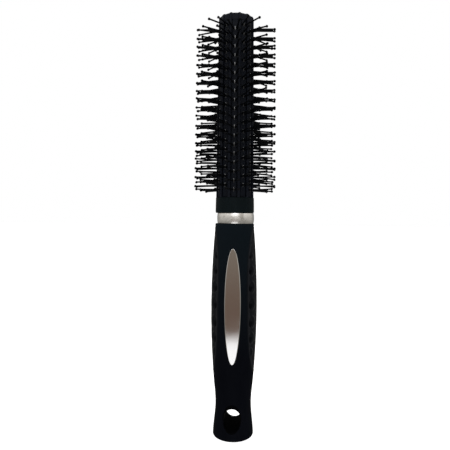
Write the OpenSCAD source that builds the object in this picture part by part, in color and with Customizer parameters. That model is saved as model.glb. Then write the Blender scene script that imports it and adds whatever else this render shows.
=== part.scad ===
// Round blow-dry brush.
// It stands on the flat butt end of its handle at z = 0, its axis runs up +Z,
// and the silver plate on the handle faces -Y. All sizes are in millimetres.

/* [Handle] */
// Length of the handle, up to the bright ring
handle_len = 121.5; // [118:0.5:125]
// Radius at the flat butt end
butt_r = 11.6; // [11:0.1:12.5]
// Radius at the slim neck above the butt
neck_r = 10.25; // [9.9:0.05:10.8]
// Height of the neck
neck_z = 18.6; // [17:0.1:20]
// Radius at the widest place
belly_r = 13.2; // [13:0.05:13.6]
// Height of the widest place
belly_z = 73; // [70:1:76]
// Radius at the top of the handle
top_r = 11.05; // [10.8:0.05:11.5]
// Corner radius round the butt end
butt_round = 0.7; // [0.3:0.1:1.2]

/* [Hanging hole] */
// Width of the oval hole
hole_w = 10; // [8:0.1:10.5]
// Height of the oval hole
hole_h = 13.2; // [12:0.1:14]
// Height of the middle of the hole
hole_z = 11.4; // [11:0.1:12.5]

/* [Silver plate] */
// Length of the almond-shaped plate
plate_len = 65.1; // [55:0.1:66]
// Width of the plate
plate_w = 9.8; // [8:0.1:10]
// Height of the middle of the plate
plate_z = 75.4; // [74:0.1:77]
// Distance from the handle's axis to the plate's flat face
plate_face = 12.26; // [12.1:0.01:12.4]
// Thickness of the plate
plate_t = 0.8; // [0.6:0.1:1]
// Width of the bevel round the plate
plate_bevel = 0.4; // [0.2:0.1:0.5]

/* [Grip pads] */
// Length of the rubber pad on each side
pad_len = 86; // [80:1:88]
// Width of each pad, seen from the side
pad_w = 20.8; // [18:0.1:21]
// Height of the middle of the pads
pad_z = 77; // [75:0.5:78]
// Thickness of the pads
pad_t = 1.5; // [1.2:0.1:1.8]

/* [Ring and collar] */
// Height of the bright ring
ring_h = 5.9; // [5:0.1:6.2]
// Radius at the middle of the ring
ring_r = 10.5; // [10.3:0.1:10.8]
// Height of the black collar above the ring
collar_h = 8.9; // [8.5:0.1:10]
// Radius of the collar
collar_r = 11.1; // [11:0.1:11.5]
// Corner radius at the bottom of the collar
collar_round = 0.8; // [0.5:0.1:1.2]

/* [Barrel] */
// Length of the ribbed barrel above the collar
barrel_len = 103.7; // [103:0.1:106]
// Radius over the ribs at the bottom of the barrel
barrel_base_r = 10.9; // [10.8:0.1:11]
// Radius over the ribs at the top of the barrel
barrel_top_r = 10.2; // [10:0.1:10.4]
// Corner radius round the barrel's top end
shoulder_r = 1.2; // [0.8:0.1:1.6]

/* [Pins] */
// Height between two pairs of pins in one row
pin_pitch = 5; // [5:0.05:5.1]
// Distance from the axis to the tips of the lowest pins, straight out from their row
pin_reach = 23.45; // [21:0.05:25]
// Angle by which the two pins of a pair lean apart from the row's middle plane
pin_splay = 9.8; // [8:0.1:11]
// Radius of a pin and of its domed tip
pin_r = 0.5; // [0.4:0.05:0.55]

/* [Hidden] */
$fn = 72;
rows = 12;
pairs = 19;
row_step = 360 / rows;

ring_z = handle_len;
collar_z = ring_z + ring_h;
barrel_z = collar_z + collar_h;
total_len = barrel_z + barrel_len;
top_edge = 0.3;

// the core rod: a stem in the handle, and a wider spigot up into the barrel
stem_r = 6;
stem_z = 28;
spigot_r = 7;
spigot_z = handle_len - 10;
spigot_top = barrel_z + 32;
key_w = 1.4;
key_r = 7.5;
key_top = barrel_z + 22;
fit_gap = 0.05;
chamfer = 0.8;

// the bead round the spigot that snaps into a groove in the barrel
snap_r = 7.35;
snap_z = spigot_top - 5;
snap_slope = 1;
snap_gap = 0.1;

// the plate's seat
tape_t = 0.15;
seat_floor = plate_face - plate_t - tape_t;
tape_inset = 0.6;
seat_gap = 0.08;

// the ring bulges between its edges, and the ring and collar clear the spigot's keys
ring_bulge = 0.4;
key_gap = 0.15;
collar_edge = 0.2;

// the barrel tube, with a thinner stub that the collar closes round
stub_h = 6;
stub_r = 8.45;
roof_t = 3;
rib_h = 0.3;
top_rib_in = 6.5;
draft = atan((barrel_base_r - barrel_top_r) / barrel_len);

// a row's undercut slot, measured out from the axis at the barrel's bottom
slot_floor = 8.75;
slot_lip = 9.75;
slot_w = 4;
mouth_w = 3.9;
slot_end = barrel_z + barrel_len - 4.2;

// a row's strip of pins
strip_gap = 0.12;
strip_base_w = slot_w - 2 * strip_gap;
crown_w = 3.1;
crown_r = 10.35;
bead_r = 0.33;
bead_len = 2.5;
first_pair = 4.3;
bead_lift = 0.05;

// a pin starts inside its strip, in a bore that follows the pin out
root_x = slot_floor + 0.35;
root_y = 0.68;
pin_gap = 0.03;
pin_len = (pin_reach - pin_r - root_x) / cos(pin_splay) + pin_r;

function two_digits(n) = str(n < 10 ? "0" : "", n);
function row_name(kind, row) = str(kind, "_", two_digits(row + 1));

// ---- curves ----

// a smooth curve through stations [height, radius, slope]
function hermite(a, b, t) =
    let (h = b[0] - a[0], u = 1 - t)
    a[1] * u * u * (1 + 2 * t) + b[1] * t * t * (3 - 2 * t)
    + h * t * u * (a[2] * u - b[2] * t);

handle_curve = [
    [0, butt_r, 0],
    [neck_z, neck_r, 0],
    [neck_z + 13.4, neck_r + 1.1, 0.085],
    [belly_z, belly_r, 0],
    [handle_len, top_r, -0.088]
];
curve_steps = [6, 5, 10, 11];

// the handle's side from butt to top, moved out by grow
function handle_side(grow) = [
    for (i = [0:len(curve_steps) - 1])
        let (a = handle_curve[i], b = handle_curve[i + 1])
            for (s = [0:curve_steps[i] - 1])
                let (t = s / curve_steps[i], z = a[0] + (b[0] - a[0]) * t)
                    if (z == 0 || z > butt_round) [hermite(a, b, t) + grow, max(z, butt_round)],
    [top_r + grow, handle_len - top_edge]
];

function arc(x, y, r, from, to, steps) = [
    for (s = [0:steps])
        let (a = from + (to - from) * s / steps)
            [x + r * cos(a), y + r * sin(a)]
];

function ellipse(w, h, steps = 72) = [
    for (s = [0:steps - 1]) [w / 2 * cos(360 * s / steps), h / 2 * sin(360 * s / steps)]
];

// an oval with blunter ends than an ellipse
function blunt_oval(w, h, steps = 48) = [
    for (s = [0:steps - 1])
        let (a = 360 * (s + 0.5) / steps, c = cos(a), d = sin(a))
            [w / 2 * sign(c) * pow(abs(c), 0.8), h / 2 * sign(d) * pow(abs(d), 0.8)]
];

// ---- shared shapes ----

// the handle's round outer form
module handle_form() {
    rotate_extrude()
        polygon(concat(
            [[0, 0]],
            arc(butt_r - butt_round, butt_round, butt_round, -90, -15, 4),
            handle_side(0),
            [[top_r - top_edge, handle_len], [0, handle_len]]
        ));
}

// a shell that follows the handle's side, from pad_t deep to grow outside it
module side_shell(grow) {
    low = pad_z - pad_len / 2 - 2;
    high = handle_len - top_edge;
    outer = [for (p = handle_side(grow)) if (p[1] > low && p[1] <= high) p];
    inner = [for (p = handle_side(-pad_t)) if (p[1] > low && p[1] <= high) p];
    rotate_extrude()
        polygon(concat(outer, [for (i = [len(inner) - 1:-1:0]) inner[i]]));
}

// an outline drawn in X and Z, extruded from the front face back to depth
module through_y(near, far) {
    translate([0, far, 0])
        rotate([90, 0, 0])
            linear_extrude(far - near)
                children();
}

// an outline drawn in Y and Z, extruded outwards on the side of sign
module out_along_x(side) {
    rotate([90, 0, side * 90])
        linear_extrude(2 * belly_r)
            children();
}

module pad_outline(gap) {
    translate([0, pad_z])
        polygon(blunt_oval(pad_w + 2 * gap, pad_len + 2 * gap));
}

// puts a row's own frame in place: x out from the axis, z up the row, leaning in with the barrel
module in_row(row) {
    rotate([0, 0, row * row_step - 90])
        translate([slot_floor, 0, barrel_z])
            rotate([0, -draft, 0])
                translate([-slot_floor, 0, 0])
                    children();
}

module spigot_keys(gap, low, high) {
    for (turn = [0, 90])
        rotate([0, 0, turn])
            translate([-key_r - gap, -key_w / 2 - gap, low])
                cube([2 * (key_r + gap), key_w + 2 * gap, high - low]);
}

// ---- handle ----

module handle_body() {
    color("#17181a")
        difference() {
            handle_form();
            hanging_hole();
            plate_seat();
            pad_recess(-1);
            pad_recess(1);
            core_socket();
        }
}

module hanging_hole() {
    through_y(-2 * belly_r, 2 * belly_r)
        translate([0, hole_z])
            polygon(ellipse(hole_w, hole_h));
}

module plate_seat() {
    through_y(-2 * belly_r, -seat_floor)
        translate([0, plate_z])
            polygon(ellipse(plate_w + 2 * seat_gap, plate_len + 2 * seat_gap));
}

module pad_recess(side) {
    intersection() {
        side_shell(1);
        out_along_x(side) pad_outline(fit_gap);
    }
}

module core_socket() {
    translate([0, 0, stem_z - 0.5])
        cylinder(r = stem_r + fit_gap, h = handle_len);
    translate([0, 0, spigot_z - fit_gap])
        cylinder(r = spigot_r + fit_gap, h = handle_len);
    spigot_keys(fit_gap, spigot_z - fit_gap, handle_len + 1);
}

module handle_core() {
    color("#2b2c2e")
        union() {
            rotate_extrude()
                polygon([
                    [0, stem_z],
                    [stem_r - chamfer, stem_z],
                    [stem_r, stem_z + chamfer],
                    [stem_r, spigot_z],
                    [spigot_r, spigot_z],
                    [spigot_r, snap_z - snap_slope],
                    [snap_r, snap_z],
                    [spigot_r, snap_z + snap_slope],
                    [spigot_r, spigot_top - chamfer],
                    [spigot_r - chamfer, spigot_top],
                    [0, spigot_top]
                ]);
            spigot_keys(0, spigot_z, key_top);
        }
}

module grip_pad(side) {
    color("#202124")
        intersection() {
            side_shell(0);
            out_along_x(side) pad_outline(0);
        }
}

module grip_pad_left() {
    grip_pad(-1);
}

module grip_pad_right() {
    grip_pad(1);
}

module inlay_plate() {
    color("#8f8a84")
        hull() {
            plate_slab(plate_face - plate_t, plate_face - plate_bevel, 0);
            plate_slab(plate_face - plate_t, plate_face, plate_bevel);
        }
}

module plate_slab(low, high, inset) {
    through_y(-high, -low)
        translate([0, plate_z])
            polygon(ellipse(plate_w - 2 * inset, plate_len - 2 * inset));
}

module inlay_tape() {
    color("#d8d4c8")
        plate_slab(seat_floor, seat_floor + tape_t, tape_inset);
}

// ---- ring and collar ----

module ferrule_ring() {
    bore = key_r + key_gap;
    bulge = [for (t = [-1:0.25:1]) [ring_r - ring_bulge * t * t, ring_z + ring_h * (1 + t) / 2]];
    color("#b9b6b2")
        rotate_extrude()
            polygon(concat([[bore, ring_z]], bulge, [[bore, ring_z + ring_h]]));
}

module barrel_collar() {
    bore = key_r + key_gap;
    seat = stub_r + fit_gap;
    step = barrel_z - stub_h - fit_gap;
    color("#1a1b1d")
        rotate_extrude()
            polygon(concat(
                [[bore, collar_z]],
                arc(collar_r - collar_round, collar_z + collar_round, collar_round, -90, 0, 6),
                [[collar_r, barrel_z - collar_edge], [collar_r - collar_edge, barrel_z]],
                [[seat, barrel_z], [seat, step], [bore, step]]
            ));
}

// ---- barrel ----

// the barrel's outer form, smaller by inset all over
module barrel_form(inset) {
    corner = shoulder_r - inset / 2;
    r = barrel_top_r - inset;
    top = total_len - inset;
    rotate_extrude()
        polygon(concat(
            [[0, barrel_z], [barrel_base_r - inset, barrel_z]],
            arc(r - corner, top - corner, corner, 0, 90, 6),
            [[0, top]]
        ));
}

// the ribs between the slots, which run over the shoulder onto the flat top
module rib_blades() {
    rib_w = 2 * barrel_base_r * sin(row_step / 2) - mouth_w;
    for (row = [0:rows - 1])
        rotate([0, 0, (row + 0.5) * row_step - 90])
            translate([top_rib_in, -rib_w / 2, barrel_z])
                cube([barrel_base_r, rib_w, barrel_len + 1]);
}

module barrel_slot() {
    translate([slot_floor, -slot_w / 2, -1])
        cube([slot_lip - slot_floor, slot_w, slot_end - barrel_z + 1]);
    translate([slot_lip - 0.1, -mouth_w / 2, -1])
        cube([4, mouth_w, slot_end - barrel_z + 1]);
}

module barrel() {
    bore_top = total_len - roof_t;
    color("#1b1c1f")
        difference() {
            union() {
                barrel_form(rib_h);
                intersection() {
                    barrel_form(0);
                    rib_blades();
                }
                translate([0, 0, barrel_z - stub_h])
                    cylinder(r = stub_r, h = stub_h + 1);
            }
            translate([0, 0, barrel_z - stub_h - 1])
                cylinder(r = spigot_r + fit_gap, h = bore_top - barrel_z + stub_h + 1);
            snap_groove();
            spigot_keys(fit_gap, barrel_z - stub_h - 1, key_top + 1);
            for (row = [0:rows - 1])
                in_row(row) barrel_slot();
        }
}

module snap_groove() {
    slope = snap_slope + 2 * snap_gap;
    rotate_extrude()
        polygon([
            [spigot_r - 1, snap_z - slope],
            [spigot_r + fit_gap, snap_z - slope],
            [snap_r + snap_gap, snap_z],
            [spigot_r + fit_gap, snap_z + slope],
            [spigot_r - 1, snap_z + slope]
        ]);
}

// ---- rows of pins ----

// even rows start half a pitch lower than odd ones
function pair_z(row, i) = first_pair + (row % 2) * pin_pitch / 2 + i * pin_pitch;

module strip_section() {
    translate([slot_floor + strip_gap, -strip_base_w / 2])
        square([slot_lip - slot_floor - 2 * strip_gap, strip_base_w]);
    intersection() {
        translate([slot_floor + strip_gap, -crown_w / 2])
            square([2, crown_w]);
        circle(r = crown_r);
    }
}

// the small glossy bead that lies along the crown between the two pins of a pair
module bead() {
    tip = bead_r * 0.5;
    rotate_extrude($fn = 32)
        polygon([
            [0, -bead_len / 2],
            [tip, -bead_len / 2],
            [bead_r, -bead_len / 2 + tip],
            [bead_r, bead_len / 2 - tip],
            [tip, bead_len / 2],
            [0, bead_len / 2]
        ]);
}

// places children at a pin's root, with +Z along the pin
module at_pin(side, z) {
    translate([root_x, side * root_y, z])
        rotate([0, 0, side * pin_splay])
            rotate([0, 90, 0])
                children();
}

module pin_strip(row) {
    color("#232428")
        in_row(row)
            difference() {
                union() {
                    translate([0, 0, strip_gap])
                        linear_extrude(slot_end - barrel_z - 3 * strip_gap)
                            strip_section();
                    for (i = [0:pairs - 1])
                        translate([crown_r + bead_lift, 0, pair_z(row, i)])
                            bead();
                }
                for (i = [0:pairs - 1])
                    for (side = [-1, 1])
                        at_pin(side, pair_z(row, i))
                            translate([0, 0, -2])
                                cylinder(r = pin_r + pin_gap, h = 6, $fn = 24);
            }
}

// one nylon pin, straight, with a domed tip
module pin() {
    rotate_extrude($fn = 24)
        polygon(concat([[0, 0], [pin_r, 0]], arc(0, pin_len - pin_r, pin_r, 0, 90, 3)));
}

module pins(row) {
    color("#1f2024")
        in_row(row)
            for (i = [0:pairs - 1])
                for (side = [-1, 1])
                    at_pin(side, pair_z(row, i))
                        pin();
}

handle_body();
handle_core();
grip_pad_left();
grip_pad_right();
inlay_plate();
inlay_tape();
ferrule_ring();
barrel_collar();
barrel();
for (row = [0:rows - 1])
    pin_strip(row);
for (row = [0:rows - 1])
    pins(row);
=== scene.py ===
import math

import bmesh
import bpy
import numpy as np
from mathutils import Euler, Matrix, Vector


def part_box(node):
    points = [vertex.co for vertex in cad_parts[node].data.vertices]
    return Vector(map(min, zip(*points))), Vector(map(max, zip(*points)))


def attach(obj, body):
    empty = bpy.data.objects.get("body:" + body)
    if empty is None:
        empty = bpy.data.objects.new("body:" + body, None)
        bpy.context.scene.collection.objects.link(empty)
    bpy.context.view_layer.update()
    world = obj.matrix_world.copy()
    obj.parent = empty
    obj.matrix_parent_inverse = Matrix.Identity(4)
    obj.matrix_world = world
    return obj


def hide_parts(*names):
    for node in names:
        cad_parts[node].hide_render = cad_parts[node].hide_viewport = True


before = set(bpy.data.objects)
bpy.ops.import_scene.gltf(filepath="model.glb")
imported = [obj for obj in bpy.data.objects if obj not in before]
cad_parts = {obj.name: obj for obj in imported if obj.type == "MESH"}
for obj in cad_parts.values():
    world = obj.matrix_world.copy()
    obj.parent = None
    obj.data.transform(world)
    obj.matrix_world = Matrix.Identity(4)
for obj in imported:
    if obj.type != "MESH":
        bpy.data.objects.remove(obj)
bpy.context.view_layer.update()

# A round blow-dry brush that stands on the butt end of its handle, with its axis up +Z and the
# silver plate facing -Y. Everything is in metres. Angles round the axis are measured from the
# front (-Y) and grow towards +X.

MM = 0.001
BODY = "root"
ROWS = 12
PAIRS = 19
ROW_STEP = 2 * math.pi / ROWS

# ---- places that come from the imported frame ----

handle_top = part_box("handle_body")[1].z
belly_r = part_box("handle_body")[1].y
ring_low, ring_high = (corner.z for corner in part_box("ferrule_ring"))
ring_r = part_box("ferrule_ring")[1].x
collar_low, collar_high = (corner.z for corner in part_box("barrel_collar"))
collar_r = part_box("barrel_collar")[1].x
barrel_low = collar_high
barrel_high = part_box("barrel")[1].z
barrel_len = barrel_high - barrel_low
stub_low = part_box("barrel")[0].z
plate_low, plate_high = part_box("inlay_plate")
pad_low, pad_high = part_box("grip_pad_right")

# ---- sizes of the visible shapes ----

BUTT_R = 11.6 * MM
BUTT_ROUND = 0.9 * MM
NECK_R = 10.25 * MM
NECK_Z = 18.6 * MM
TOP_R = 11.05 * MM
TOP_ROUND = 0.45 * MM
STEM_BORE = 6.1 * MM
STEM_BORE_LOW = 27.4 * MM
SPIGOT_BORE = 7.6 * MM
SPIGOT_BORE_LOW = 111.2 * MM

# The hanging hole's straight throat and the rim where its rounded lips begin: half width, half
# height and the middle's height. A lip is sunk by LIP_DEPTH of the way from the rim to the throat.
THROAT = (5.15 * MM, 6.0 * MM, 11.25 * MM)
HOLE_RIM = (5.35 * MM, 8.1 * MM, 12.15 * MM)
LIP_DEPTH = 0.65

PLATE_FACE = -plate_low.y
PLATE_BACK = -plate_high.y
PLATE_A = plate_high.x - 0.2 * MM
PLATE_B = (plate_high.z - plate_low.z) / 2 - 0.4 * MM
PLATE_Z = (plate_high.z + plate_low.z) / 2 + 0.05 * MM
# Steps of the plate's bevel in millimetres: how far in from the outline, how far below the face
PLATE_BEVEL = [(0, 0.32), (0.05, 0.25), (0.12, 0.2), (0.44, 0.03), (0.54, 0), (0.57, 0)]
SEAT_GAP = 0.08 * MM
SEAT_LIP = 0.15 * MM
SEAT_FLOOR = PLATE_BACK - 0.15 * MM

PAD_A = pad_high.y
PAD_B = (pad_high.z - pad_low.z) / 2
PAD_Z = (pad_high.z + pad_low.z) / 2
# An exponent below 1 makes the pad's outline squarer than an ellipse
PAD_POWER = 0.8
PAD_T = 1.5 * MM
PAD_SEAM = 0.1 * MM
# Shares of a pad's outline at which its floor has rings
FLOOR_SHARES = (1, 0.9, 0.75, 0.58, 0.4, 0.2)

BASE_R = 10.9 * MM
TIP_R = 10.2 * MM
DRAFT = math.atan((BASE_R - TIP_R) / barrel_len)
SHOULDER = 1.2 * MM
RIB_H = 0.34 * MM
RIB_IN = 6.5 * MM
RIB_FLANK = 0.25 * MM
SLOT_FLOOR = 8.75 * MM
SLOT_LIP = 9.75 * MM
SLOT_HALF = 2.0 * MM
MOUTH_HALF = 1.95 * MM
SLOT_TOP = barrel_high - 4.2 * MM
CROWN_HALF = 1.55 * MM
CROWN_R = 10.35 * MM
STRIP_GAP = 0.12 * MM
BORE_R = 7.1 * MM
ROOF_T = 3 * MM
STUB_R = 8.45 * MM
STUB_SEAT_R = 8.5 * MM

PITCH = 5 * MM
FIRST_PAIR = 4.3 * MM
PIN_SPLAY = math.radians(9.8)
PIN_ROOT_X = 9.1 * MM
PIN_ROOT_Y = 0.68 * MM
PIN_REACH = 23.45 * MM
BALL_R = 0.74 * MM
PIN_LEN = (PIN_REACH - BALL_R - PIN_ROOT_X) / math.cos(PIN_SPLAY) + BALL_R


# ---- mesh helpers ----

# Points of one mesh nearer to each other than this become one
WELD = 0.002 * MM


def add_piece(name, verts, faces, material, nodes, sharp=34, weld=False):
    """A visible piece that stands for the given CAD nodes, smooth but for its sharper edges."""
    mesh = bpy.data.meshes.new(name)
    mesh.from_pydata([tuple(v) for v in verts], [], [tuple(f) for f in faces])
    work = bmesh.new()
    work.from_mesh(mesh)
    if weld:
        bmesh.ops.remove_doubles(work, verts=work.verts, dist=WELD)
        bmesh.ops.dissolve_degenerate(work, edges=work.edges, dist=WELD)
    bmesh.ops.recalc_face_normals(work, faces=work.faces)
    work.to_mesh(mesh)
    work.free()
    mesh.shade_smooth()
    mesh.set_sharp_from_angle(angle=math.radians(sharp))
    mesh.materials.append(material)
    piece = bpy.data.objects.new(name, mesh)
    bpy.context.scene.collection.objects.link(piece)
    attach(piece, BODY)
    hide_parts(*nodes)
    return piece


def loft(rings, start=None, end=None):
    """Closed rings with the same number of points, joined by quads; a pole closes an end."""
    count = len(rings[0])
    verts = [p for ring in rings for p in ring]
    faces = []
    for k in range(len(rings) - 1):
        a, b = k * count, (k + 1) * count
        for i in range(count):
            j = (i + 1) % count
            faces.append((a + i, a + j, b + j, b + i))
    for pole, base in ((start, 0), (end, (len(rings) - 1) * count)):
        if pole is not None:
            verts.append(pole)
            tip = len(verts) - 1
            faces += [(base + i, base + (i + 1) % count, tip) for i in range(count)]
    return verts, faces


def merge(parts):
    """One list of points and one of faces from several."""
    verts, faces = [], []
    for part_verts, part_faces in parts:
        start = len(verts)
        verts += list(part_verts)
        faces += [tuple(i + start for i in f) for f in part_faces]
    return verts, faces


def lathe(profile, sides=180):
    """Turns [radius, height] points round the axis; a radius of 0 at an end becomes a pole."""
    ends = [profile[0], profile[-1]]
    poles = [(0, 0, z) if r == 0 else None for r, z in ends]
    body = [p for p in profile if p[0] > 0]
    turn = [2 * math.pi * i / sides for i in range(sides)]
    rings = [[(r * math.sin(a), -r * math.cos(a), z) for a in turn] for r, z in body]
    return loft(rings, poles[0], poles[1])


def arc(r, z, radius, start, stop, steps):
    """Points [radius, height] round a corner centred at r, z; angles in degrees."""
    turn = [math.radians(start + (stop - start) * i / steps) for i in range(steps + 1)]
    return [(r + radius * math.cos(a), z + radius * math.sin(a)) for a in turn]


def on_axis(angle, radius, z):
    """The point at an angle round the brush's axis, a radius and a height."""
    return (radius * math.sin(angle), -radius * math.cos(angle), z)


def smooth_step(low, high, x):
    """Rises from 0 at low to 1 at high, level at both ends; works on arrays too."""
    t = np.clip((x - low) / (high - low), 0, 1)
    return t * t * (3 - 2 * t)


# ---- the handle's curve ----

# Stations of the outline: height, radius and slope
HANDLE_CURVE = [
    (0, BUTT_R, 0),
    (NECK_Z, NECK_R, 0),
    (NECK_Z + 13.4 * MM, NECK_R + 1.1 * MM, 0.085),
    (73 * MM, belly_r, 0),
    (handle_top, TOP_R, -0.088),
]


def handle_r(z):
    """The handle's radius at a height, on a smooth curve through its stations."""
    z = min(max(z, 0), handle_top)
    k = 0
    while k < len(HANDLE_CURVE) - 2 and z > HANDLE_CURVE[k + 1][0]:
        k += 1
    (z0, r0, s0), (z1, r1, s1) = HANDLE_CURVE[k], HANDLE_CURVE[k + 1]
    h, t = z1 - z0, (z - z0) / (z1 - z0)
    u = 1 - t
    return r0 * u * u * (1 + 2 * t) + r1 * t * t * (3 - 2 * t) + h * t * u * (s0 * u - s1 * t)


# ---- materials ----

def new_material(name, **inputs):
    """A Principled material whose named sockets are set to constants."""
    material = bpy.data.materials.new(name)
    material.use_nodes = True
    shader = material.node_tree.nodes["Principled BSDF"]
    for key, value in inputs.items():
        shader.inputs[key.replace("_", " ")].default_value = value
    return material, material.node_tree, shader


def add_noise(tree, size, detail=3, stretch=(1, 1, 1)):
    """Noise whose grains are about size metres across, stretched along the axes."""
    coord = tree.nodes.new("ShaderNodeTexCoord")
    mapping = tree.nodes.new("ShaderNodeMapping")
    mapping.inputs["Scale"].default_value = stretch
    tree.links.new(coord.outputs["Object"], mapping.inputs["Vector"])
    noise = tree.nodes.new("ShaderNodeTexNoise")
    noise.inputs["Scale"].default_value = 1 / size
    noise.inputs["Detail"].default_value = detail
    noise.inputs["Roughness"].default_value = 0.55
    tree.links.new(mapping.outputs["Vector"], noise.inputs["Vector"])
    return noise.outputs["Fac"]


def add_range(tree, value, low, high, start=0.3, stop=0.7):
    """Maps a 0 to 1 texture onto low to high."""
    node = tree.nodes.new("ShaderNodeMapRange")
    node.inputs["From Min"].default_value = start
    node.inputs["From Max"].default_value = stop
    node.inputs["To Min"].default_value = low
    node.inputs["To Max"].default_value = high
    tree.links.new(value, node.inputs["Value"])
    return node.outputs["Result"]


def add_tint(tree, value, dark, light, start=0.3, stop=0.7):
    """A colour between dark and light by a texture."""
    ramp = tree.nodes.new("ShaderNodeValToRGB")
    ramp.color_ramp.elements[0].position = start
    ramp.color_ramp.elements[0].color = (*dark, 1)
    ramp.color_ramp.elements[1].position = stop
    ramp.color_ramp.elements[1].color = (*light, 1)
    tree.links.new(value, ramp.inputs["Fac"])
    return ramp.outputs["Color"]


def add_bump(tree, shader, layers):
    """Chains bump layers, each (height texture, depth in metres, strength), into the normal."""
    normal = None
    for height, depth, strength in layers:
        bump = tree.nodes.new("ShaderNodeBump")
        bump.inputs["Distance"].default_value = depth
        bump.inputs["Strength"].default_value = strength
        tree.links.new(height, bump.inputs["Height"])
        if normal:
            tree.links.new(normal, bump.inputs["Normal"])
        normal = bump.outputs["Normal"]
    tree.links.new(normal, shader.inputs["Normal"])


def soft_touch():
    """The handle's velvety black skin: very matte and finely grained, with painted light and shade
    that make it darker towards the butt and lighter towards the top.
    """
    material, tree, shader = new_material("soft_touch_black", Specular_IOR_Level=0.04)
    marks = add_noise(tree, 14 * MM, 4, (1, 1, 0.5))
    low = add_tint(tree, marks, (0.0004, 0.0007, 0.0020), (0.0012, 0.0016, 0.0034))
    high = add_tint(tree, marks, (0.0016, 0.0038, 0.0058), (0.0028, 0.0055, 0.0078))
    # Painted light and shade: the colour fades by height from a dark tint at the butt to a lighter,
    # bluer one at the top
    split = tree.nodes.new("ShaderNodeSeparateXYZ")
    tree.links.new(tree.nodes.new("ShaderNodeTexCoord").outputs["Object"], split.inputs[0])
    mix = tree.nodes.new("ShaderNodeMix")
    mix.data_type = "RGBA"
    tree.links.new(add_range(tree, split.outputs["Z"], 0, 1, 0.045, handle_top), mix.inputs[0])
    tree.links.new(low, mix.inputs[6])
    tree.links.new(high, mix.inputs[7])
    tree.links.new(mix.outputs[2], shader.inputs["Base Color"])
    tree.links.new(add_range(tree, marks, 0.6, 0.72), shader.inputs["Roughness"])
    grain = add_noise(tree, 0.22 * MM, 2)
    add_bump(tree, shader, [(grain, 0.02 * MM, 0.35)])
    return material


def pad_rubber(name, dark, light, roughness, specular):
    """The side pads' rubber, a little greyer and silkier than the handle's skin."""
    material, tree, shader = new_material(name, Specular_IOR_Level=specular)
    marks = add_noise(tree, 9 * MM, 4)
    tree.links.new(add_tint(tree, marks, dark, light), shader.inputs["Base Color"])
    tree.links.new(
        add_range(tree, marks, roughness, roughness + 0.1), shader.inputs["Roughness"])
    grain = add_noise(tree, 0.3 * MM, 3)
    add_bump(tree, shader, [(grain, 0.02 * MM, 0.4)])
    return material


def moulded_nylon(name, dark, light, roughness, specular):
    """Moulded black nylon with flow streaks along the brush and a fine surface grain."""
    material, tree, shader = new_material(name, Specular_IOR_Level=specular)
    streaks = add_noise(tree, 3 * MM, 4, (1, 1, 0.12))
    tree.links.new(add_tint(tree, streaks, dark, light), shader.inputs["Base Color"])
    tree.links.new(
        add_range(tree, streaks, roughness - 0.05, roughness + 0.06), shader.inputs["Roughness"])
    grain = add_noise(tree, 0.35 * MM, 2)
    waves = add_noise(tree, 4 * MM, 2, (1, 1, 0.3))
    add_bump(tree, shader, [(waves, 0.03 * MM, 0.2), (grain, 0.012 * MM, 0.3)])
    return material


def satin_silver():
    """The plate's finely blasted silver: clear reflections, warm tone and a fine sparkle."""
    material, tree, shader = new_material("satin_silver", Metallic=1.0)
    sparkle = add_noise(tree, 0.16 * MM, 2)
    cloud = add_noise(tree, 6 * MM, 3)
    tint = add_tint(tree, sparkle, (0.84, 0.83, 0.82), (0.98, 0.97, 0.96))
    tree.links.new(tint, shader.inputs["Base Color"])
    tree.links.new(add_range(tree, cloud, 0.05, 0.08), shader.inputs["Roughness"])
    add_bump(tree, shader, [(sparkle, 0.004 * MM, 0.4)])
    return material


def polished_ring():
    """The ring's bright plating over slightly uneven metal."""
    material, tree, shader = new_material("bright_plating", Metallic=1.0)
    cloud = add_noise(tree, 4 * MM, 3)
    tint = add_tint(tree, cloud, (0.66, 0.64, 0.605), (1.0, 0.985, 0.955), 0.36, 0.5)
    tree.links.new(tint, shader.inputs["Base Color"])
    tree.links.new(add_range(tree, cloud, 0.17, 0.29), shader.inputs["Roughness"])
    dents = add_noise(tree, 5 * MM, 2)
    add_bump(tree, shader, [(dents, 0.25 * MM, 0.6)])
    return material


def raw_core():
    """The inner stick, as it comes out of the mould."""
    return moulded_nylon("core_black", (0.02, 0.02, 0.022), (0.035, 0.035, 0.038), 0.5, 0.4)


def tape_film():
    """The adhesive film under the plate, with trapped air."""
    material, tree, shader = new_material("adhesive_film", Specular_IOR_Level=0.5)
    bubbles = add_noise(tree, 1.2 * MM, 3)
    tint = add_tint(tree, bubbles, (0.55, 0.53, 0.46), (0.74, 0.72, 0.65))
    tree.links.new(tint, shader.inputs["Base Color"])
    tree.links.new(add_range(tree, bubbles, 0.2, 0.45), shader.inputs["Roughness"])
    add_bump(tree, shader, [(bubbles, 0.02 * MM, 0.5)])
    return material


SOFT_TOUCH = soft_touch()
PAD_RUBBER = pad_rubber(
    "grip_rubber", (0.0014, 0.0019, 0.0032), (0.0028, 0.0034, 0.0050), 0.42, 0.085)
# Painted highlight: a lighter, silkier copy of the rubber for the crests of the raised arcs
PAD_RIDGE_HIGHLIGHT = pad_rubber(
    "grip_ridge_painted_highlight", (0.0120, 0.0124, 0.0134), (0.0170, 0.0174, 0.0184), 0.34, 0.2)
# Painted highlight: a lighter copy of the rubber for a band just inside the pad's outline
PAD_EDGE_HIGHLIGHT = pad_rubber(
    "grip_edge_painted_highlight", (0.0052, 0.0060, 0.0078), (0.0076, 0.0085, 0.0105), 0.4, 0.11)
# Painted shade: a copy of the rubber with less sheen for the dimples' hollows
PAD_DIMPLE_SHADE = pad_rubber(
    "grip_dimple_painted_shade", (0.0018, 0.0022, 0.0034), (0.0030, 0.0036, 0.0050), 0.46, 0.065)
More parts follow.
